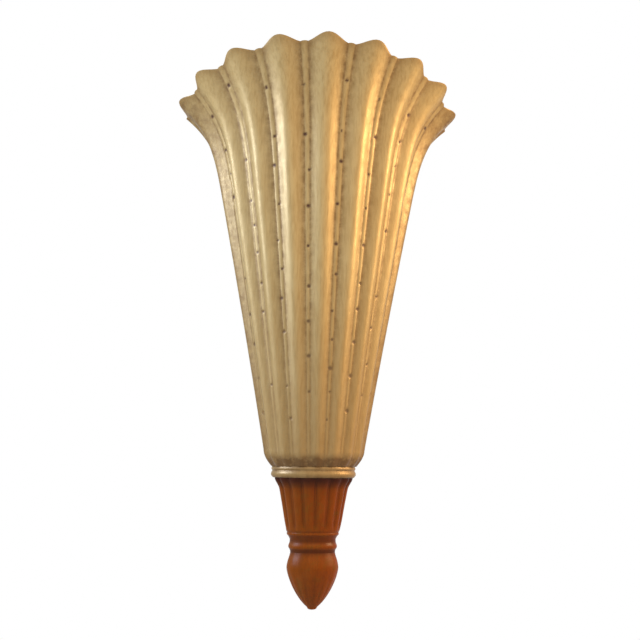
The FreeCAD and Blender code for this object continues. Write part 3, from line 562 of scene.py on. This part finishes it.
def press_pits(piece, sizes, angles, rows):
    """Press the pits into the outer face; gives how dark they make each point of the shell."""
    place = piece.data.vertices
    dark = [0.0] * len(place)
    pressed = {}
    for angle, level, radius, depth in pits(sizes):
        height = lobe_shape(angle, sizes.lobes, sizes.strip_angle)[0]
        centre = shell_point(sizes, angle, level, 0.0, height)
        push = Vector((math.sin(angle), -math.cos(angle), 0)).normalized()
        fainter = 0.5 + 0.5 * smoothstep(level / sizes.lip_level)
        for j, (row_level, inset) in enumerate(rows):
            if inset != 0.0 or abs(row_level - level) > PIT_ROWS * radius:
                continue
            for i, column_angle in enumerate(angles):
                if abs(column_angle - angle) > PIT_SPREAD:
                    continue
                index = j * len(angles) + i
                reach = (place[index].co - centre).length / radius
                if reach < PIT_REACH:
                    amount = smoothstep((PIT_REACH - reach) / PIT_SLOPE)
                    dark[index] = max(dark[index], amount * fainter)
                    pressed[index] = -push * depth * amount
    for index, offset in pressed.items():
        place[index].co += offset
    return dark


class SCONCE_OT_shell(bpy.types.Operator):
    """Model the fluted shell with its rolled lip, floor and pitted grooves"""

    bl_idname = "sconce.shell"
    bl_label = "Shell"

    def execute(self, context):
        sizes = context.scene.sconce_sizes
        angles = lobe_angles(sizes.lobes, sizes.strip_angle, LOBE_POINTS, STRIP_POINTS)
        shapes = [lobe_shape(angle, sizes.lobes, sizes.strip_angle, sizes.lobe_wave)
                  for angle in angles]
        rows = shell_profile(sizes)
        piece = grid("fluted_shell", len(angles), len(rows))
        # the grid's points run along X first
        points = iter(piece.data.vertices)
        groove, edge = [], []
        for level, inset in rows:
            for angle, (height, near) in zip(angles, shapes):
                point = next(points)
                if inset is None:
                    point.co = Vector((0, 0, COLLAR + level))
                    groove.append(FLOOR_TONE)
                    edge.append(0.0)
                    continue
                point.co = shell_point(sizes, angle, level, inset, height)
                groove.append(leaf_toning_and_shade(angle, level, inset, near))
                edge.append(smoothstep((level - sizes.rim_level + RIM_BAND) / RIM_BAND) * RIM_SHADE)
        pit = press_pits(piece, sizes, angles, rows)
        point_attribute(piece, "groove", groove)
        point_attribute(piece, "pit", pit)
        point_attribute(piece, "edge", edge)
        close_and_smooth(piece)
        finish_piece(piece, gold_leaf(context.scene.sconce_colours), "sconce", "shell")
        return {"FINISHED"}


# ------------------------------------------------------------------ turned pieces
REED_STRIP = math.radians(2.0)               # fillet between two reeds
REED_POINTS = 12                             # points across a reed, and over a fillet
FILLET_POINTS = 4
ROUND_STEPS = 72                             # steps round a plain half oval
FULL_RELIEF = 0.05                           # reeds this deep have the full painted shade in their grooves

BAND_INSET = 0.35 * MM                       # the collar's band inside its widest point
STEM_WAIST = 22.0 * MM                       # radius where the stem meets the bead
BUD_NECK = 21.4 * MM                         # radius where the bead meets the bud
BELLY_DROP = 13.6 * MM                       # the bud's widest point below the bead
BELLY = 24.8 * MM                            # radius there
STEM_RELIEF = 0.055                          # depth of the reeds over the radius
REED_END = 50.5 * MM                         # the stem's reeds run out here, below the collar
REED_FADE = 8 * MM

# (mm out from the band, share of the height from the top, painted shade): band, groove and bead; the
# shade lies in the groove and at the top and bottom edges
COLLAR_KNOTS = (
    (-0.9, 0.0, 1.0), (-0.3, 0.12, 0.8), (-0.2, 0.24, 0.55), (-1.0, 0.36, 0.9),
    (-0.3, 0.5, 0.5), (0.2, 0.66, 0.35), (-0.3, 0.84, 0.5), (-1.9, 1.0, 1.0))
# (radius, drop below the collar, painted shade), mm: flared top, long taper, thin ridge and cove; the
# shade is darkest under the collar
STEM_KNOTS = (
    (38.3, 0, 1.0), (37.6, 2.5, 1.0), (35.6, 6, 0.7), (34.0, 9, 0.4), (33.2, 12, 0.2),
    (31.6, 20, 0.03), (29.7, 30, 0.0), (27.9, 40, 0.0), (26.0, 48, 0.0), (24.8, 50.6, 0.25),
    (24.9, 51.6, 0.0), (24.8, 52.8, 0.0), (23.6, 54.2, 0.4), (22.2, 56.6, 0.5))
# (radius in mm, share of the height from the top, painted shade in the creases)
BEAD_KNOTS = ((22.2, 0.18, 0.4), (23.0, 0.36, 0.0), (23.3, 0.5, 0.0), (22.9, 0.63, 0.1),
              (21.7, 0.8, 0.7))
# (radius, drop below the bead, painted shade), mm, down to the belly
BUD_TOP_KNOTS = ((22.2, 3, 0.15), (23.8, 8, 0.0), (24.75, 13.6, 0.0))
BUD_SHARES = (0.15, 0.3, 0.45, 0.6, 0.75, 0.86, 0.93)    # from the belly to the tip
# (radius, height above the tip), mm: the blunt end
BUD_END_KNOTS = ((4.3, 1.4), (3.1, 0.5), (0.4, 0.05))


def half_turned(name, profile, ratio, reeds=0, relief_at=None):
    """A half oval turned from (radius, level, painted shade) rows, reeded where relief_at says, with
    painted shade in the grooves of the reeds.
    """
    if reeds:
        angles = lobe_angles(reeds, REED_STRIP, REED_POINTS, FILLET_POINTS)
    else:
        angles = [-math.pi / 2 + math.pi * k / ROUND_STEPS for k in range(ROUND_STEPS + 1)]
    rows = [(0.0, profile[0][1], 0.0)] + profile + [(0.0, profile[-1][1], 0.0)]
    piece = grid(name, len(angles), len(rows))
    points = iter(piece.data.vertices)
    shades = []
    for radius, level, shade in rows:
        share = relief_at(level) if reeds else 0.0
        for angle in angles:
            height, near = lobe_shape(angle, reeds, REED_STRIP) if reeds else (1.0, 0.0)
            reach = radius * (1 - share * (1 - height))
            next(points).co = Vector((
                reach * math.sin(angle), -reach * ratio * math.cos(angle), level))
            groove_shade = near ** 3 * min(share / FULL_RELIEF, 1.0)
            shades.append(min(max(shade, groove_shade * (0.45 + shade)), 1.0))
    point_attribute(piece, "groove", shades)
    close_and_smooth(piece)
    return piece


def curve_rows(knots, steps):
    """A smooth line through (radius, level, darkness) knots, by Catmull-Rom spans."""
    rows = []
    padded = [knots[0]] + knots + [knots[-1]]
    for k in range(len(knots) - 1):
        a, b, c, d = padded[k:k + 4]
        for s in range(steps):
            u = s / steps
            rows.append(tuple(
                0.5 * (2 * q + (r - p) * u + (2 * p - 5 * q + 4 * r - w) * u * u
                       + (3 * q - p - 3 * r + w) * u ** 3)
                for p, q, r, w in zip(a, b, c, d)))
    rows.append(knots[-1])
    return rows


class SCONCE_OT_collar(bpy.types.Operator):
    """Model the gilded collar: band, groove and bead"""

    bl_idname = "sconce.collar"
    bl_label = "Collar"

    def execute(self, context):
        ratio = context.scene.sconce_sizes.depth_ratio
        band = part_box("collar")[1][0] - BAND_INSET
        knots = [(band + out * MM, COLLAR_TOP - FOOT * share, shade)
                 for out, share, shade in COLLAR_KNOTS]
        piece = half_turned("gilded_collar", curve_rows(knots, 5), ratio)
        layer = [0.0] * len(piece.data.vertices)
        point_attribute(piece, "pit", layer)
        point_attribute(piece, "edge", layer)
        finish_piece(piece, bpy.data.materials["aged_gold_leaf"], "sconce", "collar")
        return {"FINISHED"}


class SCONCE_OT_stem(bpy.types.Operator):
    """Model the reeded stem, the bead ring and the bud"""

    bl_idname = "sconce.stem"
    bl_label = "Stem, bead and bud"

    def execute(self, context):
        sizes = context.scene.sconce_sizes
        wood = stained_wood(context.scene.sconce_colours)
        ratio = sizes.depth_ratio

        def stem_relief(level):
            return STEM_RELIEF * smoothstep((REED_END - (COLLAR - level)) / REED_FADE)

        # the last column is painted shade: darkest under the collar, in the cove and at the waist
        knots = [(radius * MM, COLLAR - drop * MM, shade) for radius, drop, shade in STEM_KNOTS]
        knots.append((STEM_WAIST, STEM_FOOT, 0.7))
        stem = half_turned("reeded_stem", curve_rows(knots, 6), ratio, sizes.reeds, stem_relief)
        finish_piece(stem, wood, "sconce", "stem")

        tall = STEM_FOOT - BEAD_FOOT
        # painted shade in the creases above and below the bead
        knots = [(STEM_WAIST, STEM_FOOT, 0.7)]
        knots += [(radius * MM, STEM_FOOT - tall * share, shade)
                  for radius, share, shade in BEAD_KNOTS]
        knots.append((BUD_NECK, BEAD_FOOT, 0.8))
        bead = half_turned("turned_bead", curve_rows(knots, 6), ratio)
        finish_piece(bead, wood, "sconce", "bead_ring")

        belly = BEAD_FOOT - BELLY_DROP
        length = belly - TIP

        def bud_relief(level):
            drop = (belly - level) / length
            return 0.004 + 0.022 * smoothstep(drop * 1.8) * smoothstep((1 - drop) * 5)

        # painted shade in the crease under the bead
        knots = [(BUD_NECK, BEAD_FOOT, 0.6)]
        knots += [(radius * MM, BEAD_FOOT - drop * MM, shade)
                  for radius, drop, shade in BUD_TOP_KNOTS]
        knots += [(BELLY * (1 - share ** 1.5) ** 0.7, belly - length * share, 0.0)
                  for share in BUD_SHARES]
        knots += [(radius * MM, TIP + rise * MM, 0.0) for radius, rise in BUD_END_KNOTS]
        bud = half_turned("reeded_bud", curve_rows(knots, 6), ratio, sizes.reeds, bud_relief)
        finish_piece(bud, wood, "sconce", "finial")
        return {"FINISHED"}


# ------------------------------------------------------------------ carried-over nodes
def dress(material, *nodes):
    """Give construction nodes their finish."""
    for name in nodes:
        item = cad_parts[name]
        item.data.materials.clear()
        item.data.materials.append(material)


class SCONCE_OT_back(bpy.types.Operator):
    """Finish the back board, the dowel and the hanging cleats"""

    bl_idname = "sconce.back"
    bl_label = "Back and cleats"

    def execute(self, context):
        # birch plywood, sanded: pale and matt, with fine grain that runs upwards
        ply = two_tone("birch_plywood", "#C9A877", "#A98551", 3, 0.0, 0.6, 0.8, (1.0, 1.0, 0.06), 0.15)
        # turned beech: pinkish-tan, close grained, left bare
        dowel = two_tone("beech_dowel", "#CDA87A", "#B58E5E", 2, 0.0, 0.55, 0.7, (1.0, 1.0, 0.1))
        # zinc-plated steel: cool grey, soft gloss, faint clouding
        zinc = two_tone("zinc_plated_steel", "#B9BCBE", "#9DA1A5", 9, 1.0, 0.3, 0.45)
        dress(ply, "back_board")
        dress(dowel, "stem_dowel")
        dress(zinc, "wall_cleat", "board_cleat", "cleat_screws", "board_screws", "lamp_bracket",
              "bracket_screws", "terminal_fixings")
        return {"FINISHED"}


class SCONCE_OT_holder(bpy.types.Operator):
    """Finish the lamp holder and what fastens it"""

    bl_idname = "sconce.holder"
    bl_label = "Lamp holder"

    def execute(self, context):
        # turned brass, unlacquered: warm, fairly bright, a little dulled
        brass = two_tone("turned_brass", "#C7A04E", "#AD8536", 5, 1.0, 0.25, 0.4)
        # moulded thermoset: off-white with a low gloss
        thermoset = two_tone("white_thermoset", "#E6E1D5", "#DAD4C6", 8, 0.0, 0.38, 0.5)
        # pressed and fired steatite: chalky white, matt
        steatite = two_tone("steatite", "#EAE7DF", "#DCD8CD", 4, 0.0, 0.6, 0.75)
        dress(brass, "nipple", "nipple_nut", "holder_thread", "holder_contact", "earth_screw",
              "terminal_sleeves", "terminal_screws")
        dress(thermoset, "holder_body")
        dress(steatite, "holder_insert")
        return {"FINISHED"}


class SCONCE_OT_bulb(bpy.types.Operator):
    """Finish the candle lamp"""

    bl_idname = "sconce.bulb"
    bl_label = "Candle lamp"

    def execute(self, context):
        # pressed glass: milky green-white, glossy
        mount = two_tone("pressed_glass_mount", "#E3E8E6", "#CFD8D6", 4, 0.0, 0.12, 0.25)
        # phosphor in silicone: chrome yellow, matt
        phosphor = two_tone("phosphor_coating", "#F0C860", "#E2B040", 2, 0.0, 0.6, 0.8)
        # rolled aluminium: light grey metal with a soft gloss
        aluminium = two_tone("rolled_aluminium", "#C4C5C4", "#A9ABAB", 3, 1.0, 0.28, 0.4)
        # vitrite, a fused glass insulator: near black and glossy
        vitrite = two_tone("black_vitrite", "#16161A", "#0C0C0E", 5, 0.0, 0.2, 0.35)
        dress(blown_glass(), "bulb_glass")
        dress(mount, "bulb_stem")
        dress(phosphor, "bulb_filaments")
        dress(aluminium, "bulb_cap")
        dress(vitrite, "bulb_contact")
        return {"FINISHED"}


class SCONCE_OT_wiring(bpy.types.Operator):
    """Finish the terminal block, the wires and the cable bush"""

    bl_idname = "sconce.wiring"
    bl_label = "Wiring"

    def execute(self, context):
        # moulded nylon: milky white, satin
        nylon = two_tone("nylon_block", "#E9E6DC", "#DBD7CA", 6, 0.0, 0.45, 0.6)
        # moulded rubber: charcoal black, matt
        rubber = two_tone("black_rubber", "#1B1B1C", "#101011", 3, 0.0, 0.6, 0.8)
        dress(nylon, "terminal_block")
        dress(rubber, "cable_grommet")
        # extruded vinyl insulation, even and satin, one colour for each lead
        for name, light, dark, node in (
                ("brown_insulation", "#5A3218", "#492610", "wire_live"),
                ("blue_insulation", "#2A5DA8", "#1E4B90", "wire_neutral"),
                ("green_yellow_insulation", "#7FAE2A", "#5E9A22", "wire_earth")):
            dress(two_tone(name, light, dark, 4, 0.0, 0.35, 0.5), node)
        return {"FINISHED"}


# ------------------------------------------------------------------ stage
CAMERA_DISTANCE = 1.0                        # how far the camera stood, for a sconce of this size
CAMERA_YAW = math.radians(6.33)              # a little to the left
CAMERA_RISE = math.radians(-10.66)           # looking up from below the middle
CAMERA_ROLL = math.radians(0.67)
CAMERA_TARGET = Vector((0, 0, COLLAR + 200 * MM))
IMAGE_SIDE = 640
FOCAL_PIXELS = 1000                          # a millimetre shows as a pixel at the target
TARGET_PIXEL = (315.8, 273.5)                # where the target lies in the photograph
NEAREST = 0.01                               # the camera sees nothing closer

LIGHTS = (                                   # (name, place, side, watts, tint)
    ("window_left", (-1.3, -0.46, 0.45), 0.65, 33, "#CFE1FC"),
    ("lamp_right", (1.3, -0.46, 0.38), 0.6, 27, "#FFDBA6"),
    ("fill_front", (0.1, -1.9, 0.7), 1.2, 6, "#FFEBCC"),
)
LIGHT_AIM = Vector((0, -0.03, 0))

FLOOR_SIDE = 4
FLOOR_PLACE = (0, -0.1, TIP - 0.55)
# metres from the floor's middle, and the share of backdrop that they map to
PALING = {"From Min": 0.2, "From Max": 1.1, "To Min": 0.45, "To Max": 1.0}
AMBIENT = ("#ECE6DA", 0.17)                  # tint and strength of the light from all round


def area_light(name, spot, side, watts, tint):
    """A square soft light that faces the shell."""
    bpy.ops.object.light_add(type="AREA", location=spot)
    lamp = bpy.context.object
    lamp.name = name
    lamp.data.size = side
    lamp.data.energy = watts
    lamp.data.color = linear(tint)[:3]
    lamp.rotation_euler = (LIGHT_AIM - Vector(spot)).to_track_quat("-Z", "Y").to_euler()


def seen_direct(tree):
    """1 for what the camera sees by itself, in a reflection or through glass."""
    path = add(tree, "ShaderNodeLightPath")
    plain = add(tree, "ShaderNodeMath", links={0: path.outputs["Is Camera Ray"],
                                              1: path.outputs["Is Transmission Ray"]},
                operation="MAXIMUM")
    either = add(tree, "ShaderNodeMath", links={0: plain.outputs[0],
                                               1: path.outputs["Is Glossy Ray"]},
                 operation="MAXIMUM")
    return either.outputs[0]


def pale_floor(colours):
    """A matt floor that pales into the backdrop away from the sconce, so its edges don't show."""
    material, tree, shader = new_material("pale_floor")
    shader.inputs["Base Color"].default_value = opaque(colours.floor)
    shader.inputs["Roughness"].default_value = 0.8
    place = add(tree, "ShaderNodeTexCoord").outputs["Object"]
    away = add(tree, "ShaderNodeVectorMath", links={0: place}, operation="LENGTH")
    paling = add(tree, "ShaderNodeMapRange", PALING, {"Value": away.outputs["Value"]})
    shown = add(tree, "ShaderNodeMath", links={0: paling.outputs[0], 1: seen_direct(tree)},
                operation="MULTIPLY")
    pale = add(tree, "ShaderNodeEmission", {"Color": opaque(colours.backdrop), "Strength": 1.0})
    surface = add(tree, "ShaderNodeMixShader",
                  links={0: shown.outputs[0], 1: shader.outputs[0], 2: pale.outputs[0]})
    tree.links.new(surface.outputs[0], tree.nodes["Material Output"].inputs["Surface"])
    return material


class SCONCE_OT_stage(bpy.types.Operator):
    """Set the camera, the soft lights, the white backdrop and the pale floor"""

    bl_idname = "sconce.stage"
    bl_label = "Stage"

    def execute(self, context):
        colours = context.scene.sconce_colours
        data = bpy.data.cameras.new("camera")
        camera = bpy.data.objects.new("camera", data)
        context.scene.collection.objects.link(camera)
        back = Vector((-math.sin(CAMERA_YAW) * math.cos(CAMERA_RISE),
                       -math.cos(CAMERA_YAW) * math.cos(CAMERA_RISE), math.sin(CAMERA_RISE)))
        turn = back.to_track_quat("Z", "Y").to_matrix().to_4x4()
        camera.matrix_world = (Matrix.Translation(CAMERA_TARGET + back * CAMERA_DISTANCE) @ turn
                               @ Matrix.Rotation(CAMERA_ROLL, 4, "Z"))
        data.sensor_fit = "HORIZONTAL"
        data.lens = data.sensor_width * FOCAL_PIXELS / IMAGE_SIDE
        data.shift_x = (IMAGE_SIDE / 2 - TARGET_PIXEL[0]) / IMAGE_SIDE
        data.shift_y = (TARGET_PIXEL[1] - IMAGE_SIDE / 2) / IMAGE_SIDE
        data.clip_start = NEAREST
        context.scene.camera = camera

        for light in LIGHTS:
            area_light(*light)

        bpy.ops.mesh.primitive_plane_add(size=FLOOR_SIDE, location=FLOOR_PLACE)
        floor = context.object
        floor.name = "floor"
        floor.data.materials.append(pale_floor(colours))

        world = bpy.data.worlds.new("studio")
        context.scene.world = world
        world.use_nodes = True
        tree = world.node_tree
        tree.nodes.clear()
        ambient = add(tree, "ShaderNodeBackground",
                      {"Color": linear(AMBIENT[0]), "Strength": AMBIENT[1]})
        white = add(tree, "ShaderNodeBackground",
                    {"Color": opaque(colours.backdrop), "Strength": 1.0})
        both = add(tree, "ShaderNodeMixShader",
                   links={0: seen_direct(tree), 1: ambient.outputs[0], 2: white.outputs[0]})
        add(tree, "ShaderNodeOutputWorld", links={"Surface": both.outputs[0]})
        context.scene.view_settings.view_transform = "Standard"
        return {"FINISHED"}


# ------------------------------------------------------------------ panel and registration
OPERATORS = (SCONCE_OT_shell, SCONCE_OT_collar, SCONCE_OT_stem, SCONCE_OT_back, SCONCE_OT_holder,
             SCONCE_OT_bulb, SCONCE_OT_wiring, SCONCE_OT_stage)


class SCONCE_PT_sidebar(bpy.types.Panel):
    """The sconce's sizes and colours, and its pieces in the order that they are made"""

    bl_idname = "SCONCE_PT_sidebar"
    bl_label = "Shell wall sconce"
    bl_space_type = "VIEW_3D"
    bl_region_type = "UI"
    bl_category = "Sconce"

    def draw(self, context):
        for name in ("lobes", "base_half_width", "lip_flare", "rim_rise", "depth_ratio",
                     "pit_spacing"):
            self.layout.prop(context.scene.sconce_sizes, name)
        for name in ("leaf_full", "toning_and_shade", "wood_light", "wood_dark"):
            self.layout.prop(context.scene.sconce_colours, name)
        for operator in OPERATORS:
            self.layout.operator(operator.bl_idname)


CLASSES = (SconceSizes, SconceColours, *OPERATORS, SCONCE_PT_sidebar)


def register():
    for item in CLASSES:
        bpy.utils.register_class(item)
    bpy.types.Scene.sconce_sizes = PointerProperty(type=SconceSizes)
    bpy.types.Scene.sconce_colours = PointerProperty(type=SconceColours)


def unregister():
    del bpy.types.Scene.sconce_colours
    del bpy.types.Scene.sconce_sizes
    for item in reversed(CLASSES):
        bpy.utils.unregister_class(item)


def main():
    """Build everything: register the add-on and run each step in turn."""
    register()
    bpy.ops.sconce.shell()
    bpy.ops.sconce.collar()
    bpy.ops.sconce.stem()
    bpy.ops.sconce.back()
    bpy.ops.sconce.holder()
    bpy.ops.sconce.bulb()
    bpy.ops.sconce.wiring()
    bpy.ops.sconce.stage()


if __name__ == "__main__":
    main()
